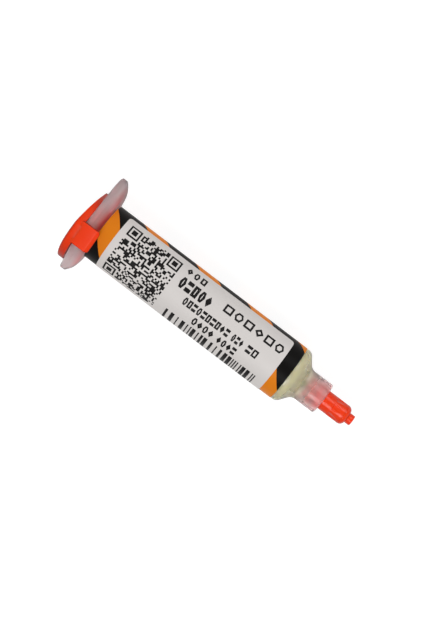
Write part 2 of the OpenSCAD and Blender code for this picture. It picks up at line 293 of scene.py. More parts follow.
def rgb(red, green, blue):
    """The linear colour, with alpha, of a screen colour given from 0 to 255."""
    screen = np.array([red, green, blue]) / 255
    linear = np.where(screen <= 0.04045, screen / 12.92, ((screen + 0.055) / 1.055) ** 2.4)
    return (*linear.tolist(), 1.0)


print("screen grey 128 is", round(rgb(128, 128, 128)[0], 3), "in linear light")

# %% [markdown]
# ## Grain, shared by the plastics and the films
# Moulded plastic is never a perfect mirror: the tool leaves a fine grain, and handling leaves
# soft patches that are a little duller. Printed film has the same two, finer. So both are one
# node group that is built once and placed in each material with its own values. It puts out a
# height for a bump and a mask for roughness.

# %% Moulded grain
def new_group(name, takes, gives):
    """A shader node group with float inputs and float outputs: its tree, input and output
    nodes."""
    group = bpy.data.node_groups.new(name, "ShaderNodeTree")
    for label, value in takes.items():
        socket = group.interface.new_socket(label, in_out="INPUT", socket_type="NodeSocketFloat")
        socket.default_value = value
    for label in gives:
        group.interface.new_socket(label, in_out="OUTPUT", socket_type="NodeSocketFloat")
    return group, group.nodes.new("NodeGroupInput"), group.nodes.new("NodeGroupOutput")


def moulded_grain():
    """Fine grain and slow patches, both noise over the object: Height for bumps, Patches for
    gloss."""
    scales = {"Grain": 900.0, "Patch": 60.0}
    group, given, out = new_group("moulded_grain", scales, ["Height", "Patches"])
    where = add(group, "ShaderNodeTexCoord").outputs["Object"]
    for scale, detail, gives in (("Grain", 3.0, "Height"), ("Patch", 2.0, "Patches")):
        noise = add(group, "ShaderNodeTexNoise", {
            "Vector": where, "Scale": given.outputs[scale], "Detail": detail,
        })
        group.links.new(noise.outputs["Fac"], out.inputs[gives])
    return group


GRAIN = moulded_grain()
print("group", GRAIN.name, "has", len(GRAIN.nodes), "nodes")

# %% [markdown]
# ## The place on the barrel
# Anything graded or printed on a round barrel is laid out by two numbers: how far along it a
# point is, and at what angle round it. The second group works both out from Object coordinates,
# which a Mapping node of the Texture kind turns into the barrel's own frame. A UV map would do as
# well, but it would have to be made for each piece.

# %% Place on the barrel
def barrel_place():
    """Along is u in millimetres from the flange. Angle is the arc tangent of y over w."""
    group, _, out = new_group("barrel_place", {}, ["Along", "Angle"])
    own = add(group, "ShaderNodeMapping", {
        "Vector": add(group, "ShaderNodeTexCoord").outputs["Object"],
        "Location": REAR.tolist(),
        "Rotation": (0.0, PITCH, 0.0),
        "Scale": (MM, MM, MM),
    }, vector_type="TEXTURE")
    parts = add(group, "ShaderNodeSeparateXYZ", {0: own.outputs["Vector"]})
    angle = number(group, "ARCTAN2", parts.outputs["Y"], parts.outputs["Z"])
    group.links.new(parts.outputs["X"], out.inputs["Along"])
    group.links.new(angle, out.inputs["Angle"])
    return group


def use_group(tree, group, **values):
    """Places a group in a graph with its own input values."""
    node = tree.nodes.new("ShaderNodeGroup")
    node.node_tree = group
    for label, value in values.items():
        node.inputs[label].default_value = value
    return node


PLACE = barrel_place()
print("group", PLACE.name, "has", len(PLACE.nodes), "nodes")

# %% [markdown]
# ## Natural polypropylene
# The barrel's plastic has no pigment. It is clear enough to show the flux in the shoulder and the
# red lugs in the collar, and its thick places look milky. A volume inside the mesh would do that,
# but it renders slowly and grainy. A transmission weight below one, a rough surface and some
# subsurface give the same look.
# Haze and tint are graded along the barrel by two colour ramps: most haze in the thick flange,
# least in the thin shoulder and collar. The reds in the tint, faint over most of it and deeper at
# the flange's root and in the collar, are painted light from the caps beside them. Light that
# meets the plastic edge-on goes a longer way through it, so haze grows there. The tint turns to a
# darker grey there, which is painted shade. Haze only makes the surface rougher. The share of
# light that goes through stays one plain number on the shader.

# %% Haze and tint along the barrel
RAMP_LENGTH = 100.0
HAZE = [(0.0, 1.0), (0.022, 1.0), (0.042, 0.8), (0.7, 0.8), (0.75, 0.1), (0.795, 0.1),
        (0.808, 0.8), (0.824, 0.8), (0.84, 0.15), (1.0, 0.15)]
CLEAREST_ROUGH, HAZIEST_ROUGH = 0.18, 0.5
CLEAR_PART = 0.81
NATURAL, FLUX_BEHIND = rgb(240, 230, 231), rgb(240, 226, 211)
# Painted red light: from the end cap at the flange's root, and from the tip cap in the collar.
ROOT_CAP_LIGHT, COLLAR_CAP_LIGHT = rgb(226, 56, 52), rgb(244, 202, 200)
TINT = [(0.0, NATURAL), (0.024, NATURAL), (0.04, ROOT_CAP_LIGHT), (0.06, NATURAL), (0.7, NATURAL),
        (0.74, FLUX_BEHIND), (0.808, FLUX_BEHIND), (0.832, rgb(236, 218, 212)),
        (0.86, COLLAR_CAP_LIGHT), (0.93, COLLAR_CAP_LIGHT), (0.95, rgb(238, 218, 219))]
EDGE_POWER = 2.0
EDGE_HAZE = 0.9
# Painted grey shade, mixed into the tint where the plastic is seen edge-on.
EDGE_SHADE = rgb(178, 168, 171)
print("haze in", len(HAZE), "steps and tint in", len(TINT), "over", RAMP_LENGTH, "mm")

# %% The hazy plastic
def ramp(tree, share, colours):
    """A colour ramp: share picks between the colours, each given with its place from 0 to 1."""
    node = add(tree, "ShaderNodeValToRGB", {"Fac": share})
    stops = node.color_ramp.elements
    while len(stops) < len(colours):
        stops.new(1.0)
    for stop, (place, colour) in zip(stops, colours):
        stop.position = place
        stop.color = colour
    return node.outputs["Color"]


def glow(weight, radius, scale):
    """Subsurface inputs: its weight, how far each colour travels, and the scale in metres."""
    return {"Subsurface Weight": weight, "Subsurface Radius": radius, "Subsurface Scale": scale}


def hazy_plastic():
    """Edge-on is Facing squared. Haze is the greater of its ramp and EDGE_HAZE x edge-on, and
    sets the roughness. The tint goes from its ramp to a darker grey by edge-on, as painted shade."""
    material, tree = new_material("natural_polypropylene")
    share = number(tree, "MULTIPLY", use_group(tree, PLACE).outputs["Along"], 1 / RAMP_LENGTH)
    level = ramp(tree, share, [(place, (haze, haze, haze, 1)) for place, haze in HAZE])
    facing = add(tree, "ShaderNodeLayerWeight", {"Blend": 0.5}).outputs["Facing"]
    edge_on = number(tree, "POWER", facing, EDGE_POWER)
    haze = number(tree, "MAXIMUM", number(tree, "MULTIPLY", edge_on, EDGE_HAZE), level)
    put_out(tree, "ShaderNodeBsdfPrincipled", {
        "Base Color": mixed(tree, edge_on, ramp(tree, share, TINT), EDGE_SHADE),
        "Roughness": moved_range(tree, haze, CLEAREST_ROUGH, HAZIEST_ROUGH),
        "Transmission Weight": CLEAR_PART, "IOR": 1.42, "Specular IOR Level": 0.35,
        **glow(1.0, (1.0, 0.8, 0.8), 0.0015),
    })
    return material


natural_plastic = hazy_plastic()
print(natural_plastic.name, "has", len(natural_plastic.node_tree.nodes), "nodes")

# %% [markdown]
# ## The finger flange
# The flange is a round middle with two ears, cut by two flats. Its outline is the hull of three
# circles, which could be drawn with arcs and tangents. Its radius in any direction is also the
# least of support / cosine over all directions, which is one line for a whole ring of angles and
# lets the outline be drawn in for the eased rim. The angles crowd together where the ears are.

# %% The flange's outline
BARREL_R = 9.25
FLANGE_MIDDLE_R, FLANGE_FLAT = 12.2, 11.6
EAR_MIDDLE, EAR_R = 11.7, 5.6
FLANGE_CIRCLES = [(0, 0, FLANGE_MIDDLE_R), (EAR_MIDDLE, 0, EAR_R), (-EAR_MIDDLE, 0, EAR_R)]
FLAT_SHARPNESS = 8
BARREL_COLUMNS, CROWDING = 320, 0.28
LEAST_COSINE, LEAST_FLAT_COSINE = 0.05, 0.2


def convex_radius(beta, circles, inset=0.0):
    """Radius, in each direction beta, of the hull of circles (y, w, radius) drawn in by inset:
    the least over all normals of the hull's support divided by the cosine between normal and
    beta."""
    normal = np.radians(np.arange(0.0, 360.0, 1.0))
    reach = [y * np.sin(normal) + w * np.cos(normal) + r for y, w, r in circles]
    support = (np.max(reach, axis=0) - inset)[:, None]
    cosine = np.cos(beta[None] - normal[:, None])
    far = np.where(cosine > LEAST_COSINE, support / np.maximum(cosine, LEAST_COSINE), np.inf)
    return far.min(axis=0)


def flange_radius(beta, inset=0.0):
    """The lesser of the hull and the flat / cosine, rounded where they meet: minus the logarithm
    of the sum of the two exponentials of -sharpness x radius, divided by the sharpness."""
    whole = convex_radius(beta, FLANGE_CIRCLES, inset)
    flat = (FLANGE_FLAT - inset) / np.maximum(np.abs(np.cos(beta)), LEAST_FLAT_COSINE)
    return -np.logaddexp(-FLAT_SHARPNESS * whole, -FLAT_SHARPNESS * flat) / FLAT_SHARPNESS


even_beta = angles(BARREL_COLUMNS)
ear_beta = even_beta + CROWDING * np.sin(2 * even_beta)
print("flange, mm:", np.round(2 * flange_radius(np.array([0, math.pi / 2])), 1))

# %% [markdown]
# ## The flange's two faces
# The rear face is flat and meets the end cap. The front swells: over the flats it climbs straight
# from the rim to the barrel, and along the ears it climbs fast behind the rim and then levels
# out, so the ears are thick nearly out to their tips. One power of the share of the way gives
# both.

# %% Rows of the flange
MOUTH_R = 8.35
RIM_EASE = 0.4
FRONT_U, FRONT_CLIMB, FRONT_POWER = 1.75, 2.55, 3
EAR_REACH = 16.0
CROWD_TO_RIM = 1.3


def step_up(x, low, high):
    """Smooth step: 0 up to low, 1 from high, and 3t^2 - 2t^3 between them."""
    t = np.clip((x - low) / (high - low), 0, 1)
    return t * t * (3 - 2 * t)


def flange_rows(beta):
    """Rows of the flange: straight out across the rear face, a quarter circle round the rear rim,
    then a front that climbs to the barrel as 1 - (1 - f)^p, with p from 1 over the flats to 3
    along the ears."""
    f = np.linspace(0, 1, 6)[:, None]
    rear = turned(MOUTH_R + (flange_radius(beta, RIM_EASE) - MOUTH_R) * f, 0.0, beta)
    a = np.linspace(0, math.pi / 2, 6)[1:, None]
    rim = np.array([flange_radius(beta, RIM_EASE * (1 - math.sin(k))) for k in a[:, 0]])
    rim = turned(rim, RIM_EASE * (1 - np.cos(a)), beta)
    reach = flange_radius(beta)
    f = np.linspace(0, 1, 18)[:, None] ** CROWD_TO_RIM
    power = 1 + (FRONT_POWER - 1) * step_up(reach, FLANGE_MIDDLE_R, EAR_REACH)
    climb = FRONT_U + FRONT_CLIMB * (1 - (1 - f) ** power)
    front = turned(reach - (reach - BARREL_R) * f, climb, beta)
    return np.concatenate([rear, rim, front])


flange = flange_rows(ear_beta)
print("the flange's rows:", len(flange), "of", flange.shape[1], "points")

# %% [markdown]
# ## The thread in the lock collar
# The collar of a luer lock has two fine ridges inside, which hold the lugs of the tip cap and
# show through the clear plastic as pale lines. They could be swept along a helix and joined on.
# Here they are a height that is taken off the radius of the bore, so that barrel and thread are
# one closed surface, as they are one moulding. The bore's rows stand close together to carry
# them.

# %% Thread and finer rows
THREAD_PITCH, THREAD_LEAD, THREAD_START = 2.5, 5.0, 85.456
THREAD_HEIGHT, CREST_HALF, FOOT_HALF = 0.46, 0.08, 0.45
THREAD_IN, THREAD_OUT = (81.6, 82.2), (87.3, 87.9)
THREAD_ROW_GAP = 0.06


def thread_ridge(u, beta):
    """Height of the collar's inner thread: two ridges a pitch apart that fall along u as beta
    grows, so that they run right-handed between the lugs of the tip cap, and fade out at both
    ends."""
    place = u + THREAD_LEAD * beta / (2 * math.pi) - THREAD_START
    off = np.abs((place + THREAD_PITCH / 2) % THREAD_PITCH - THREAD_PITCH / 2)
    fade = step_up(u, *THREAD_IN) * (1 - step_up(u, *THREAD_OUT))
    return THREAD_HEIGHT * (1 - step_up(off, CREST_HALF, FOOT_HALF)) * fade


def finer(path, gap, low, high):
    """The same path, with no two neighbours more than gap mm apart where its second number is
    from low to high."""
    pieces = [path[:1]]
    for start, end in zip(path[:-1], path[1:]):
        inside = low <= min(start[1], end[1]) and max(start[1], end[1]) <= high
        count = math.ceil(np.linalg.norm(end - start) / gap) if inside else 1
        pieces.append(start + (end - start) * (np.arange(1, count + 1) / count)[:, None])
    return np.vstack(pieces)


ridge = thread_ridge(np.linspace(*THREAD_IN, 50)[:, None], ear_beta)
print("the thread rises to", round(float(ridge.max()), 2), "mm in its first turn")

# %% [markdown]
# ## The barrel
# One moulding, so one closed surface: from the rear mouth out to the flange, round its rim, over
# its swelling front, along the tube, down the shoulder, round the lock collar, in among the
# thread, out along the nozzle and all the way back through the bore. The flange's rows come first
# and the tube's path follows, both over the same angles, so the last row meets the first.

# %% The barrel's surface
BORE_R = 7.95
SHOULDER_U, SHOULDER_END, SHOULDER_R = 75.8, 78.2, 8.06
COLLAR_R, COLLAR_BORE_R, COLLAR_FLOOR, COLLAR_END = 5.15, 4.1, 81.2, 88.5
BORE_FOOT, BORE_MOUTH = 81.4, 88.2
NOZZLE_ROOT_R, NOZZLE_R, NOZZLE_BORE_R, NOZZLE_END = 2.28, 2.0, 1.05, 90.6

outside = np.vstack([
    [[BARREL_R, 5.0], [BARREL_R, 40.0], [BARREL_R, 75.0]],
    eased([(BARREL_R, SHOULDER_U, 0), (BARREL_R, 77.45, 1.38), (SHOULDER_R, SHOULDER_END, 0)], 8),
    eased([
        (SHOULDER_R, SHOULDER_END, 0), (COLLAR_R, 80.4, 1.3), (COLLAR_R, COLLAR_END, 0.6),
        (4.25, COLLAR_END, 0.15), (COLLAR_BORE_R, BORE_MOUTH, 0),
    ], 6)[1:],
])
plain_bore = np.array([[COLLAR_BORE_R, 88.1], [COLLAR_BORE_R, 81.5]])
threaded = finer(plain_bore, THREAD_ROW_GAP, COLLAR_FLOOR, COLLAR_END)
inside = np.vstack([threaded, eased([
    (COLLAR_BORE_R, 81.45, 0), (COLLAR_BORE_R, COLLAR_FLOOR, 0.2),
    (NOZZLE_ROOT_R, COLLAR_FLOOR, 0.25), (NOZZLE_R, NOZZLE_END, 0.15),
    (NOZZLE_BORE_R, NOZZLE_END, 0.1), (NOZZLE_BORE_R, 80.6, 0.3),
    (4.3, 79.3, 0.5), (BORE_R, 76.3, 0.5), (BORE_R, RIM_EASE, 0), (MOUTH_R, 0.0, 0),
], 8)])[:-1]
path = np.vstack([outside, inside])
radius = np.broadcast_to(path[:, :1], (len(path), len(ear_beta))).copy()
lines = (path[:, 0] == COLLAR_BORE_R) & (path[:, 1] < BORE_MOUTH) & (path[:, 1] > BORE_FOOT)
radius[lines] -= thread_ridge(path[lines, 1:], ear_beta)
tube = turned(radius, path[:, 1:], ear_beta)
piece(
    "barrel_skin", [shell(np.concatenate([flange, tube]), loop=True)],
    natural_plastic, "root", ["barrel"], crease=60,
)

# %% [markdown]
# ## Opaque moulded plastics
# The piston is white polyethylene and the caps are red. Each could have a graph of its own, but
# all need the same one: a colour, roughness that varies in slow patches, a fine grain in the
# normal, and some subsurface so that thin edges glow. So one function makes them, and the flux,
# the paper and the ink too. Where red is seen edge-on, Layer Weight mixes in a dark red, which is
# painted shade on the rims and outlines.

# %% Moulded plastic
GRAIN_DEPTH = 0.0001
PATCHES_FROM, PATCHES_TO = 0.3, 0.7
SMOOTHER, ROUGHER = 0.04, 0.05


def dents(tree, grain, strength):
    """The normal over the grain's height, which is GRAIN_DEPTH metres at strength 1."""
    inputs = {"Height": grain.outputs["Height"], "Strength": strength, "Distance": GRAIN_DEPTH}
    return add(tree, "ShaderNodeBump", inputs).outputs[0]


def plastic(name, colour, rough, bump, shader, edges=None):
    """A moulded plastic: one colour, patchy roughness, fine grain. shader sets other Principled
    inputs. edges is (blend, colour), for a plastic that goes to that colour where it is seen
    edge-on, as painted shade on its rims."""
    material, tree = new_material(name)
    grain = use_group(tree, GRAIN)
    if edges:
        # Painted shade: a dark colour mixed in where the surface is seen edge-on.
        slant = add(tree, "ShaderNodeLayerWeight", {"Blend": edges[0]})
        colour = mixed(tree, slant.outputs["Facing"], colour, edges[1])
    patches = grain.outputs["Patches"]
    gloss = moved_range(tree, patches, rough - SMOOTHER, rough + ROUGHER, PATCHES_FROM, PATCHES_TO)
    put_out(tree, "ShaderNodeBsdfPrincipled", {
        "Base Color": colour, "Roughness": gloss, "Normal": dents(tree, grain, bump), **shader,
    })
    return material


white_plastic = plastic(
    "white_polyethylene", rgb(235, 234, 228), 0.4, 0.2, glow(0.3, (1.0, 0.9, 0.8), 0.0015),
)
flux_look = plastic("tacky_flux", rgb(214, 223, 180), 0.3, 0.3, glow(0.4, (1.0, 0.8, 0.4), 0.002))
print("made", white_plastic.name, "and", flux_look.name)

# %% [markdown]
# ## The piston
# A hollow wiper with two thin lips that wipe the bore, and a cone in front that fits the cone of
# the shoulder. Spin could turn it too. Here it is one path in a table, as the barrel is: out of
# the hollow, over both lips, down the cone and back inside.

# %% The piston
ROUND_COLUMNS = 192
LIP_R, WAIST_R, HOLLOW_R = 7.9, 7.45, 6.25
round_beta = angles(ROUND_COLUMNS)


def spun(path, beta, loop=False):
    """The closed surface of a path (radius, u) turned about the axis."""
    return shell(turned(path[:, :1], path[:, 1:], beta), loop)


piston_path = eased([
    (HOLLOW_R, 18.0, 0), (HOLLOW_R, 14.0, 0.1), (7.5, 14.0, 0.2), (LIP_R, 14.5, 0.2),
    (LIP_R, 15.6, 0.15), (WAIST_R, 16.05, 0.15), (WAIST_R, 19.95, 0.15), (LIP_R, 20.4, 0.15),
    (LIP_R, 22.0, 0.25), (1.6, 25.9, 0.6), (0.1, 25.9, 0), (0.1, 24.7, 0), (1.3, 24.7, 0.3),
    (HOLLOW_R, 21.4, 0.5), (HOLLOW_R, 19.0, 0),
])
piece(
    "piston_skin", [spun(piston_path, round_beta, loop=True)],
    white_plastic, "piston_body", ["piston"],
)

# %% [markdown]
# ## The flux
# The flux fills the bore from the piston's cone to just short of the end of the nozzle. It wets
# the wall, so it overlaps it by 0.03 mm: a film of air between the two would catch the light. It
# is one piece that rides no body, with its mesh baked where it stands.

# %% The flux
WET = 0.03
FLUX_R, FLUX_NOZZLE_R = BORE_R + WET, NOZZLE_BORE_R + WET
flux_path = eased([
    (0.05, 25.95, 0), (1.6, 25.95, 0.3), (7.92, 22.05, 0), (FLUX_R, 22.3, 0), (FLUX_R, 76.33, 0.5),
    (4.33, 79.36, 0.5), (FLUX_NOZZLE_R, 80.66, 0.3), (FLUX_NOZZLE_R, 90.0, 0.2), (0.05, 90.1, 0),
], steps=8)
flux_skin = piece(
    "flux_skin", [spun(flux_path, round_beta)],
    flux_look, None, ["flux_paste"],
)
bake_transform(flux_skin)

# %% [markdown]
# ## The end cap's disc
# A disc with a low vault outside. It sits off the axis so that a thumb can catch its lip. Its
# outline is again a hull of circles: two large ones and four small ones at the corners by the
# clips. The rows of its table go from the middle of the outer face round the rim to the middle of
# the inner one. The vault runs from ear to ear, so it is no sphere: a large cylinder pushes the
# outer rows in wherever they stand out past it.

# %% The end cap's disc
CAP_COLUMNS = 256
CAP_THICK, CAP_RIM, CAP_LIP, VAULT_R = 2.79, 1.1, 2.1, 62.0
CAP_EASE, CAP_BACK, CAP_INNER = 0.15, -0.2, -0.05
CAP_CIRCLES = [(-CAP_LIP, side * 1.8, 11.3) for side in (1, -1)] + [
    (edge * 1.9, side * 11.15, 2.0) for side in (1, -1) for edge in (1, -1)
]
OUTER_SHARES = [0.02, 0.08, 0.2, 0.35, 0.5, 0.65, 0.8, 0.92, 1.0]
INNER_SHARES = [0.8, 0.4, 0.02]


def cap_disc(beta):
    """Rows (share of the outline, inset, u): the outer face, a quarter circle round each rim, the
    inner face. The outer rows are then pushed in to the cylinder radius - sqrt(radius^2 - y^2),
    with y from the disc's own middle, where they stand out past it."""
    out = np.radians(np.linspace(10, 90, 9))
    back = np.radians(np.linspace(0, 90, 5))
    rows = [(share, CAP_RIM, -CAP_THICK) for share in OUTER_SHARES]
    rows += [(1, CAP_RIM * (1 - math.sin(a)), CAP_RIM * (1 - math.cos(a)) - CAP_THICK) for a in out]
    outer = len(rows)
    rows += [(1, CAP_EASE * (1 - math.cos(a)), CAP_EASE * math.sin(a) + CAP_BACK) for a in back]
    rows += [(share, 0.0, CAP_INNER) for share in INNER_SHARES]
    radius = np.array([convex_radius(beta, CAP_CIRCLES, inset) * share for share, inset, _ in rows])
    table = turned(radius, np.array(rows)[:, 2:], beta)
    vault = VAULT_R - np.sqrt(VAULT_R ** 2 - (table[:outer, :, 1] + CAP_LIP) ** 2) - CAP_THICK
    table[:outer, :, 0] = np.maximum(table[:outer, :, 0], vault)
    return table


cap_beta = angles(CAP_COLUMNS)
disc = cap_disc(cap_beta)
print("the cap's disc reaches", round(-float(disc[..., 0].min()), 2), "mm behind the flange")

# %% [markdown]
# ## The clips
# Two clips reach over the flange's flats, and a small bead inside each catches its front edge. A
# clip is an extruded section, which a Bevel modifier could soften. Here the section is carried
# along the ears as a table, so that both edges can be drawn in by a quarter circle, and the front
# end can follow the round corners that the photograph shows.

# %% The clips
CLIP_IN, CLIP_OUT, CLIP_MIDDLE, CLIP_HALF_THICK = 12.05, 13.12, 12.6, 0.55
CLIP_HALF, CLIP_REACH, CLIP_ROUND = 3.9, 5.6, 1.0
BEAD_IN = CLIP_IN - 0.35
CLIP_ROOT, CLIP_EASE = -0.6, 0.15
CLIP_ROWS = [-3.5, -3.2, -2.9, 0, 2.9, 3.2, 3.5]
FRONT_END_FROM = 4
NOT_QUITE = 0.999


def clip(side):
    """One clip: its section (w, u) repeated along y, drawn in by a quarter circle at both edges,
    its front end held back by the corner's circle near them."""
    section = eased([
        (CLIP_MIDDLE, CLIP_ROOT, 0), (CLIP_IN, CLIP_ROOT, 0.05), (CLIP_IN, 3.85, 0.2),
        (BEAD_IN, 4.2, 0.15), (BEAD_IN, 4.9, 0.15), (CLIP_IN, CLIP_REACH, 0.12),
        (CLIP_OUT - 0.45, CLIP_REACH, 0.12), (CLIP_OUT, 4.4, 0.25), (CLIP_OUT, CLIP_ROOT, 0.05),
        (CLIP_MIDDLE, CLIP_ROOT, 0),
    ])[:-1]
    edge = CLIP_EASE * (1 - np.sin(np.radians(np.linspace(0, 90, 7))))
    y = np.sort(np.concatenate([edge - CLIP_HALF, CLIP_ROWS, CLIP_HALF - edge]))
    past = np.clip((np.abs(y) - CLIP_HALF + CLIP_EASE) / CLIP_EASE, 0, 1)
    draw_in = (CLIP_EASE * (1 - np.sqrt(1 - past ** 2)))[:, None]
    corner = np.clip(np.abs(y) - CLIP_HALF + CLIP_ROUND, 0, CLIP_ROUND * NOT_QUITE)
    front = (CLIP_REACH - CLIP_ROUND + np.sqrt(CLIP_ROUND ** 2 - corner ** 2))[:, None]
    w = CLIP_MIDDLE + (section[:, 0] - CLIP_MIDDLE)[None] * (1 - draw_in / CLIP_HALF_THICK)
    u = np.minimum(section[:, 1][None], front) - draw_in * (section[:, 1] > FRONT_END_FROM)[None]
    return np.stack([u, np.broadcast_to(y[:, None], u.shape) * side, w * side], axis=-1)


upper_clip, lower_clip = clip(1), clip(-1)
print("a clip is", round(float(np.ptp(upper_clip[..., 1])), 2), "mm wide")

# %% [markdown]
# ## The end cap
# Its third part is a plug, a short tube that sits in the bore. Disc, plug and clips are moulded
# in one. A boolean could join them, at the price of ragged faces, so each is a closed shell of
# its own and they overlap a little where nobody sees it. Its painted edge shade reaches well in
# from the outline, for the dark rim of the disc.

# %% The end cap
# The edge-on red is painted shade on the caps' rims and outlines.
RED_FACING, RED_EDGE_SHADE = rgb(252, 62, 8), rgb(64, 10, 8)
RED_GLOW = glow(0.25, (1.0, 0.2, 0.05), 0.0012)
PLUG_R, PLUG_INNER_R, PLUG_END, PLUG_ROOT = 7.85, 6.65, 6.0, -0.4

# A wide band of painted edge shade, for the dark rim of the disc.
thick_red = plastic(
    "red_polyethylene_thick", RED_FACING, 0.3, 0.2, {**RED_GLOW, "Specular IOR Level": 0.15},
    edges=(0.38, RED_EDGE_SHADE),
)
plug = eased([
    (PLUG_INNER_R, PLUG_ROOT, 0), (PLUG_R, PLUG_ROOT, 0), (PLUG_R, 5.4, 0.2),
    (7.25, PLUG_END, 0.25), (PLUG_INNER_R, PLUG_END, 0.15), (PLUG_INNER_R, PLUG_ROOT, 0),
])[:-1]
piece(
    "end_cap_skin",
    [shell(disc), spun(plug, cap_beta, loop=True), shell(upper_clip), shell(lower_clip)],
    thick_red, "end_cap_body", ["end_cap"],
)

# %% [markdown]
# ## Lugs and flutes of the tip cap
# The tip cap has two lugs that climb in the collar's thread and six short flutes for the fingers.
# Both could be cut with booleans. But lugs and flutes only change the radius of a turned path, so
# both are formulas over the same table: the lugs add a rib along a helix, and the flutes take the
# lesser of the body and a cone that stands beside it.

# %% Lugs and flutes
TIP_R, TIP_U, LUG_R = 3.22, 82.2, 3.9
LUG_MIDDLE_U, LUG_TOP_HALF, LUG_FOOT_HALF = 83.925, 0.6, 0.7
LUG_TURN = math.radians(22)
LUG_ENDS = math.radians(61), math.radians(65)
FLUTES, FLUTE_R, FLUTE_DEPTH, FLUTE_LONG, FLUTE_END = 6, 3.0, 0.5, 3.6, 95.6
FADE_IN, FADE_OUT_FROM, FADE_OUT_TO = 0.2, FLUTE_END - 0.1, FLUTE_END + 0.3


def lugs(u, beta):
    """Height of the two lugs: a rib whose middle falls by the lead as beta grows a whole turn,
    with smooth steps down its sides and at its ends, 130 degrees apart."""
    height = 0.0
    for half in (0, math.pi):
        swing = (beta - LUG_TURN - half + math.pi) % (2 * math.pi) - math.pi
        off = np.abs(u - LUG_MIDDLE_U + THREAD_LEAD * swing / (2 * math.pi))
        rib = 1 - step_up(off, LUG_TOP_HALF, LUG_FOOT_HALF)
        ends = 1 - step_up(np.abs(swing), *LUG_ENDS)
        height = np.maximum(height, (LUG_R - TIP_R) * rib * ends)
    return height


def flutes(radius, u, beta):
    """The lesser of a radius and the near side of a cone beside the body, middle x cos -
    sqrt(cone^2 - (middle x sin)^2), for each flute along its own length."""
    pitch = 2 * math.pi / FLUTES
    swing = (beta - LUG_TURN + pitch / 2) % pitch - pitch / 2
    cone = FLUTE_R + FLUTE_DEPTH * (FLUTE_END - u) / FLUTE_LONG
    middle = TIP_R + FLUTE_R
    root = np.sqrt(np.maximum(cone ** 2 - (middle * np.sin(swing)) ** 2, 0))
    near = np.where(cone > middle * np.abs(np.sin(swing)), middle * np.cos(swing) - root, radius)
    start = FLUTE_END - FLUTE_LONG
    deep = step_up(u, start, start + FADE_IN) * (1 - step_up(u, FADE_OUT_FROM, FADE_OUT_TO))
    return radius - np.maximum(radius - near, 0) * deep


flute_bottom = flutes(TIP_R, FLUTE_END - FLUTE_LONG / 2, np.array([LUG_TURN]))
print("a flute is", round(float(TIP_R - flute_bottom[0]), 2), "mm deep half way along")

# %% [markdown]
# ## The tip cap
# A turned plug with a socket that fits the nozzle, a rounded front and a small stem. The path
# runs from the bottom of the socket out to the rim and along the outside, with close rows only
# where the lugs and the flutes are. Its painted edge shade keeps closer to the outline than that
# of the end cap.

# %% The tip cap
TIP_FRONT, STEM_R, STEM_END = 97.8, 1.7, 99.59
SOCKET_U, POLE_R = 91.2, 0.05
ON_BODY = 0.01
LUG_ROWS, FLUTE_ROWS = (0.08, 82.3, 86.6), (0.12, 91.7, 97.0)

# A narrower band of painted edge shade than on the end cap.
thin_red = plastic(
    "red_polyethylene_thin", RED_FACING, 0.18, 0.2, {**RED_GLOW, "Specular IOR Level": 0.24},
    edges=(0.15, RED_EDGE_SHADE),
)
tip_path = eased([
    (POLE_R, SOCKET_U, 0), (2.05, SOCKET_U, 0.3), (2.32, TIP_U, 0.15), (TIP_R, TIP_U, 0.25),
    (TIP_R, 86.5, 0), (TIP_R, 91.8, 0), (TIP_R, 96.2, 0), (TIP_R, 97.15, 1.05),
    (2.0, TIP_FRONT, 0.3), (STEM_R, TIP_FRONT, 0.15), (STEM_R, STEM_END, 0.2),
    (POLE_R, STEM_END, 0),
], steps=5)
tip_path = finer(finer(tip_path, *LUG_ROWS), *FLUTE_ROWS)
body = np.abs(tip_path[:, :1] - TIP_R) < ON_BODY
u = tip_path[:, 1:]
radius = np.broadcast_to(tip_path[:, :1], (len(tip_path), len(cap_beta)))
radius = np.where(body, flutes(radius + lugs(u, cap_beta), u, cap_beta), radius)
piece(
    "tip_cap_skin", [shell(turned(radius, u, cap_beta))],
    thin_red, "tip_cap_body", ["tip_cap"],
)

# %% [markdown]
# ## The striped film
# The wrap label is a plastic film with a warning pattern: slanting bands of black and orange. The
# bands could be painted on a UV map, but they are one straight rule in the unrolled label. So the
# material works out the place along the barrel plus a share of the angle round it, takes the
# fraction of a period, and compares. The bands stay sharp from any distance.

# %% The striped film
STRIPE_PERIOD, STRIPE_SLANT, STRIPE_START = 19.59, 6.75, 5.88
ORANGE_SHARE = 0.419
BLACK_PRINT, ORANGE_PRINT = rgb(14, 12, 11), rgb(230, 130, 26)


def striped_film():
    """Orange where the fraction of (along + slant x angle - start) / period is below its share."""
    material, tree = new_material("striped_film")
    place = use_group(tree, PLACE).outputs
    slanted = number(tree, "MULTIPLY_ADD", place["Angle"], STRIPE_SLANT, place["Along"])
    periods = number(tree, "DIVIDE", number(tree, "ADD", slanted, -STRIPE_START), STRIPE_PERIOD)
    orange = number(tree, "LESS_THAN", number(tree, "FRACT", periods), ORANGE_SHARE)
    grain = use_group(tree, GRAIN, Grain=500.0, Patch=90.0)
    put_out(tree, "ShaderNodeBsdfPrincipled", {
        "Base Color": mixed(tree, orange, BLACK_PRINT, ORANGE_PRINT),
        "Roughness": moved_range(tree, grain.outputs["Patches"], 0.28, 0.5),
        "Normal": dents(tree, grain, 0.1), "IOR": 1.3, "Specular IOR Level": 0.15,
    })
    return material


stripes = striped_film()
print("about", math.ceil((LABEL_END - LABEL_U) / STRIPE_PERIOD), "orange bands along", stripes.name)

# %% [markdown]
# ## The wrap label
# A film a tenth of a millimetre thick that goes all the way round and laps over itself on the
# underside. A sheet with Solidify would leave open ends at the lap. A ring turned about the axis
# has none, and the lap is a low smooth step in its radius.

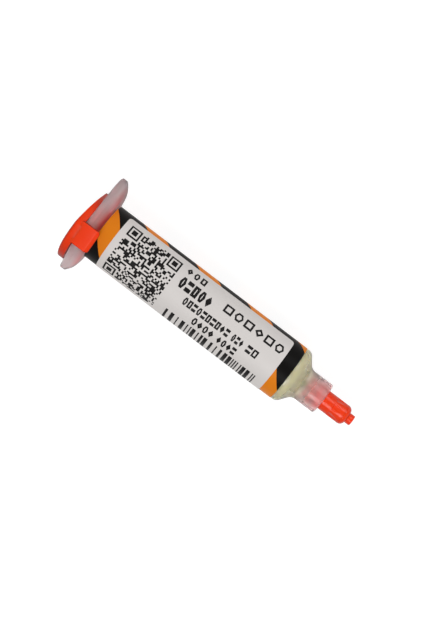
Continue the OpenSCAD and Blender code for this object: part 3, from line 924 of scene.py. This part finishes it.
# %% The wrap label
FILM_COLUMNS = 360
LABEL_R, LABEL_IN = 9.37, 9.27
LAP_HEIGHT, LAP_START, LAP_FADE = 0.03, (2.62, 2.64), (2.90, 2.95)
film_beta = angles(FILM_COLUMNS)
lap = LAP_HEIGHT * step_up(film_beta, *LAP_START) * (1 - step_up(film_beta, *LAP_FADE))
film_path = eased([
    (LABEL_IN, 40.0, 0), (LABEL_IN, LABEL_U, 0.02), (LABEL_R, LABEL_U, 0.03),
    (LABEL_R, LABEL_END, 0.03), (LABEL_IN, LABEL_END, 0.02), (LABEL_IN, 40.0, 0),
], steps=3)[:-1]
outer = film_path[:, :1] > (LABEL_IN + LABEL_R) / 2
label_radius = film_path[:, :1] + outer * lap
piece(
    "label_skin", [shell(turned(label_radius, film_path[:, 1:], film_beta), loop=True)],
    stripes, "root", ["wrap_label"],
)

# %% [markdown]
# ## The code sticker
# A pale paper sticker covers half of the round, with small round corners. It is a grid with two
# directions of its own, u along the barrel and v down from its upper edge, wrapped onto the
# radius. The columns near its ends are shortened by the corner's circle. The same grid a little
# further in is its back, and a helper joins the two round their rims.

# %% The code sticker
STICKER_U, STICKER_END, STICKER_HIGH, STICKER_ROUND = 9.1, 71.1, 30.0, 1.2
STICKER_TOP = math.radians(82.56)
PAPER_IN, PAPER_R = 9.39, 9.49


def wrapped(u, v, radius):
    """Points of the sticker's own sheet at a radius: beta is the upper edge's angle less v /
    radius of the paper."""
    return turned(radius, u, STICKER_TOP - v / PAPER_R)


def film(upper, lower):
    """Points and faces of a thin closed sheet: two tables of one size, joined round their rims."""
    rows, columns = upper.shape[:2]
    index = np.arange(rows * columns).reshape(rows, columns)
    top = np.stack([index[:-1, :-1], index[:-1, 1:], index[1:, 1:], index[1:, :-1]], -1)
    top = top.reshape(-1, 4)
    rim = np.concatenate([index[0, :-1], index[:-1, -1], index[-1, :0:-1], index[:0:-1, 0]])
    next_one = np.roll(rim, -1)
    side = np.stack([rim, next_one, next_one + index.size, rim + index.size], -1)
    points = np.vstack([upper.reshape(-1, 3), lower.reshape(-1, 3)])
    return points, np.vstack([top[:, ::-1], top + index.size, side]).tolist()


sticker_paper = plastic(
    "sticker_paper", rgb(220, 215, 212), 0.5, 0.2, {"Specular IOR Level": 0.3},
)
near_end = np.linspace(0, STICKER_ROUND, 7)
sticker_long = STICKER_END - STICKER_U
columns = np.concatenate([near_end, [20.0, 42.0], sticker_long - near_end[::-1]])
to_corner = np.clip(STICKER_ROUND - np.minimum(columns, sticker_long - columns), 0, STICKER_ROUND)
pinch = (STICKER_ROUND - np.sqrt(STICKER_ROUND ** 2 - to_corner ** 2))[:, None]
v = pinch + (STICKER_HIGH - 2 * pinch) * np.linspace(0, 1, 61)[None]
sheet_u = STICKER_U + columns[:, None]
piece(
    "sticker_skin", [film(wrapped(sheet_u, v, PAPER_R), wrapped(sheet_u, v, PAPER_IN))],
    sticker_paper, "root", ["code_sticker"],
)

# %% [markdown]
# ## Print that says nothing
# The sticker's print is simple marks: rows of outlined shapes, a square mosaic with three framed
# corners, and a field of bars, random from a fixed seed. The material could draw them, but its
# graph would be huge. Here each mark is a thin closed plate of ink that follows the paper's
# curve, so it stays crisp from any distance. First come the marks, as short quads (u, v) in the
# flat sheet.

# %% One mark
KINDS = ["box", "diamond", "hexagon", "bars"]
BAR_STEP, SIDE_STEP = 0.8, 0.6
DIAMOND_STROKE, HEXAGON_CUT, BARS_SHARE = 1.4, 0.25, 0.36


def bar(u0, u1, v0, v1):
    """A rectangle in the sheet, cut into short quads down the curve."""
    steps = max(1, math.ceil((v1 - v0) / BAR_STEP))
    v = np.linspace(v0, v1, steps + 1)
    return [[(u0, a), (u1, a), (u1, b), (u0, b)] for a, b in zip(v[:-1], v[1:])]


def outline_of(corners, stroke):
    """An outlined shape: short quads along each side, from it to the same side drawn to the
    middle by the share stroke / half the shape's size."""
    corners = np.array(corners, float)
    middle = corners.mean(axis=0)
    half = np.abs(corners - middle).max(axis=0)
    inner = middle + (corners - middle) * (1 - stroke / half)
    quads = []
    for k in range(len(corners)):
        n = (k + 1) % len(corners)
        side, inner_side = corners[n] - corners[k], inner[n] - inner[k]
        cuts = np.linspace(0, 1, 1 + math.ceil(np.linalg.norm(side) / SIDE_STEP))
        quads += [[tuple(point) for point in (
            corners[k] + side * a, corners[k] + side * b,
            inner[k] + inner_side * b, inner[k] + inner_side * a,
        )] for a, b in zip(cuts[:-1], cuts[1:])]
    return quads


def mark(kind, u0, u1, v0, v1, stroke):
    """One mark in its box: an open box, a diamond, a hexagon, or two bars."""
    um, vm = (u0 + u1) / 2, (v0 + v1) / 2
    if kind == "box":
        return outline_of([(u0, v0), (u1, v0), (u1, v1), (u0, v1)], stroke)
    if kind == "diamond":
        return outline_of([(um, v0), (u1, vm), (um, v1), (u0, vm)], stroke * DIAMOND_STROKE)
    if kind == "hexagon":
        ua, ub = u0 + (u1 - u0) * HEXAGON_CUT, u1 - (u1 - u0) * HEXAGON_CUT
        return outline_of([(ua, v0), (ub, v0), (u1, vm), (ub, v1), (ua, v1), (u0, vm)], stroke)
    third = (v1 - v0) * BARS_SHARE
    return bar(u0, u1, v0, v0 + third) + bar(u0, u1, v1 - third, v1)


print("quads in each kind of mark:", {kind: len(mark(kind, 0, 2, 0, 3, 0.5)) for kind in KINDS})

# %% [markdown]
# ## Rows, mosaic and bars
# Three helpers fill an area with marks. All of them draw from one generator with a fixed seed, so
# the print is the same each time the script runs, as long as the order of the calls is kept.

# %% Rows of marks
SEED = 11
dice = np.random.default_rng(SEED)


def row_of_marks(count, u0, u1, v0, v1, stroke, gap):
    """A row of marks of one size with random kinds, no kind twice in a row."""
    width = (u1 - u0 - gap * (count - 1)) / count
    quads, last = [], None
    for k in range(count):
        last = dice.choice([kind for kind in KINDS if kind != last])
        start = u0 + k * (width + gap)
        quads += mark(last, start, start + width, v0, v1, stroke)
    return quads


print("seed of the print:", SEED)

# %% Mosaic and bars
FRAMED = 7
DARK_SHARE = 0.5


def mosaic(u0, v0, side, modules):
    """A random square mosaic whose runs of dark cells are joined, with a framed square in three
    corners."""
    dark = dice.random((modules, modules)) < DARK_SHARE
    framed = np.ones((FRAMED, FRAMED), bool)
    framed[1:-1, 1:-1] = False
    framed[2:-2, 2:-2] = True
    far = modules - FRAMED
    for row, column in ((0, 0), (0, far), (far, 0)):
        dark[max(row - 1, 0):row + FRAMED + 1, max(column - 1, 0):column + FRAMED + 1] = False
        dark[row:row + FRAMED, column:column + FRAMED] = framed
    cell = side / modules
    quads = []
    for row in range(modules):
        edges = np.flatnonzero(np.diff(np.concatenate([[0], dark[row].astype(int), [0]])))
        for start, end in edges.reshape(-1, 2):
            quads += bar(u0 + start * cell, u0 + end * cell, v0 + row * cell, v0 + (row + 1) * cell)
    return quads


def bars(u0, u1, v0, v1, module):
    """A field of bars whose widths and gaps are one, two or three modules, at random."""
    quads, u = [], u0
    while u < u1 - 2 * module:
        width = module * dice.choice([1, 1, 2, 3])
        quads += bar(u, u + width, v0, v1)
        u += width + module * dice.choice([1, 1, 2, 3])
    return quads


print("each framed square is", FRAMED, "cells wide")

# %% [markdown]
# ## The sticker's layout
# The areas are laid out in millimetres on the unrolled sheet. One call after another could fill
# them, but a table of rows says it most plainly, and a loop fills it in that order.

# %% Lay out the print
MOSAIC = (11.2, 2.5, 19.0, 33)
# How many marks, u from and to, v from and to, stroke, gap.
MARK_ROWS = [
    (3, 32.4, 39.4, 2.1, 4.6, 0.6, 0.7),
    (5, 32.5, 44.05, 5.96, 9.6, 0.85, 0.4),
    (6, 47.9, 69.8, 4.4, 7.3, 0.65, 0.75),
    (10, 36.75, 53.7, 10.6, 13.05, 0.55, 0.3),
    (3, 54.9, 58.85, 10.6, 13.05, 0.5, 0.3),
    (2, 60.35, 64.3, 10.6, 13.05, 0.55, 0.4),
    (4, 42.4, 50.2, 14.0, 16.6, 0.58, 0.35),
    (4, 51.65, 58.5, 14.0, 16.6, 0.58, 0.35),
]
BARS = (34.1, 69.0, 17.6, 27.4, 0.4)

print_quads = mosaic(*MOSAIC)
for row in MARK_ROWS:
    print_quads += row_of_marks(*row)
print_quads += bars(*BARS)
print("the print has", len(print_quads), "quads")

# %% [markdown]
# ## Ink on the paper
# Each quad becomes a closed plate with six sides, from just under the paper's surface to just
# over it. All corners are wrapped at once, and the faces of all plates come from the same eight
# numbers plus the plate's own start.

# %% Lay the ink on the paper
INK_LOW, INK_R = 9.48, 9.505
sticker_ink = plastic(
    "sticker_ink", rgb(17, 15, 15), 0.45, 0.1, {"IOR": 1.3, "Specular IOR Level": 0.3},
)
quads = np.array(print_quads)
low = wrapped(quads[..., 0], quads[..., 1], INK_LOW).reshape(-1, 3)
high = wrapped(quads[..., 0], quads[..., 1], INK_R).reshape(-1, 3)
first = np.arange(len(quads))[:, None] * 4
total = len(quads) * 4
plates = [first + np.array([[0, 1, 2, 3]]) + total, first + np.array([[3, 2, 1, 0]])]
for k in range(4):
    n = (k + 1) % 4
    plates.append(np.hstack([first + k, first + n, first + n + total, first + k + total]))
piece(
    "sticker_print", [(np.vstack([low, high]), np.vstack(plates).tolist())],
    sticker_ink, "root", ["code_sticker"],
)

# %% [markdown]
# ## The floor
# A product shot of a small thing is mostly white surroundings. More light on the whole scene
# would make the ground white, but it would bleach the syringe too. So the floor adds its own
# light only for the camera, for rays through clear plastic and, less of it, for those off a
# gloss. For all other light it is a pale diffuse floor, and it keeps a faint shadow.

# %% Stage
FLOOR_SIDE = 1.6
FLOOR_PALE, FLOOR_SEEN = (0.85, 0.85, 0.85, 1), (0.22, 0.22, 0.22, 1)
FLOOR_OWN_LIGHT = 0.9
GLOSS_SHARE = 0.4


def white_for_the_eye(tree):
    """1 for rays that show the surroundings, from the camera or through clear plastic, and
    GLOSS_SHARE for a ray off a gloss: the greater of camera and transmission + share x glossy."""
    path = add(tree, "ShaderNodeLightPath").outputs
    shiny = number(
        tree, "MULTIPLY_ADD", path["Is Glossy Ray"], GLOSS_SHARE, path["Is Transmission Ray"],
    )
    return number(tree, "MAXIMUM", path["Is Camera Ray"], shiny)


def floor_look():
    """A pale floor that adds its own light only where it is seen, where its paint is greyer."""
    material, tree = new_material("studio_floor")
    seen = white_for_the_eye(tree)
    paint = mixed(tree, seen, FLOOR_PALE, FLOOR_SEEN)
    diffuse = add(tree, "ShaderNodeBsdfDiffuse", {"Color": paint})
    own_light = number(tree, "MULTIPLY", seen, FLOOR_OWN_LIGHT)
    own = add(tree, "ShaderNodeEmission", {"Strength": own_light})
    put_out(tree, "ShaderNodeAddShader", {0: diffuse.outputs[0], 1: own.outputs[0]})
    return material


half = FLOOR_SIDE / 2
floor_corners = [(-half, -half, 0), (half, -half, 0), (half, half, 0), (-half, half, 0)]
floor_mesh = bpy.data.meshes.new("floor")
floor_mesh.from_pydata(floor_corners, [], [(0, 1, 2, 3)])
floor_mesh.materials.append(floor_look())
floor = added("floor", floor_mesh)
floor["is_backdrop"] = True
print("the floor is", FLOOR_SIDE, "m wide")

# %% [markdown]
# ## World and lamps
# The white world fills the shadows at a plain level and shows as full white to the camera. Two
# softboxes give the highlights: the one beyond the syringe draws the long sheen on the barrel,
# and the near one adds the second spot on the shoulder. A softbox is an area lamp, and the larger
# it is, the softer its highlight.

# %% Lamps and world
WORLD_LIGHT, WORLD_WHITE = 0.46, 1.0
LAMP_SIDE = 0.32
LAMPS = {"softbox_beyond": (1.1, (0.12, 0.64, 0.34)), "softbox_near": (1.9, (0.12, -0.14, 0.70))}

world = bpy.data.worlds.new("studio")
bpy.context.scene.world = world
world.use_nodes = True
tree = world.node_tree
tree.nodes.clear()
level = moved_range(tree, white_for_the_eye(tree), WORLD_LIGHT, WORLD_WHITE)
sky = add(tree, "ShaderNodeBackground", {"Color": (1, 1, 1, 1), "Strength": level})
add(tree, "ShaderNodeOutputWorld", {"Surface": sky.outputs[0]})

for name, (watts, place) in LAMPS.items():
    lamp_data = bpy.data.lights.new(name, "AREA")
    lamp_data.energy = watts
    lamp_data.size = LAMP_SIDE
    lamp = added(name, lamp_data)
    lamp.location = place
    lamp.rotation_mode = "QUATERNION"
    lamp.rotation_quaternion = Vector(place).to_track_quat("Z", "Y")
    print(name + ":", watts, "W from", round(Vector(place).length, 2), "m away")

# %% [markdown]
# ## The last checks
# The box round all that is dressed is printed less the CAD box, in millimetres.

# %% Boxes to compare, and the last checks
dressed_low, dressed_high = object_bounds()
for side, dressed, cad in (("low", dressed_low, cad_low), ("high", dressed_high, cad_high)):
    print("dressed less CAD, mm,", side, np.round((np.array(dressed) - np.array(cad)) / MM, 3))
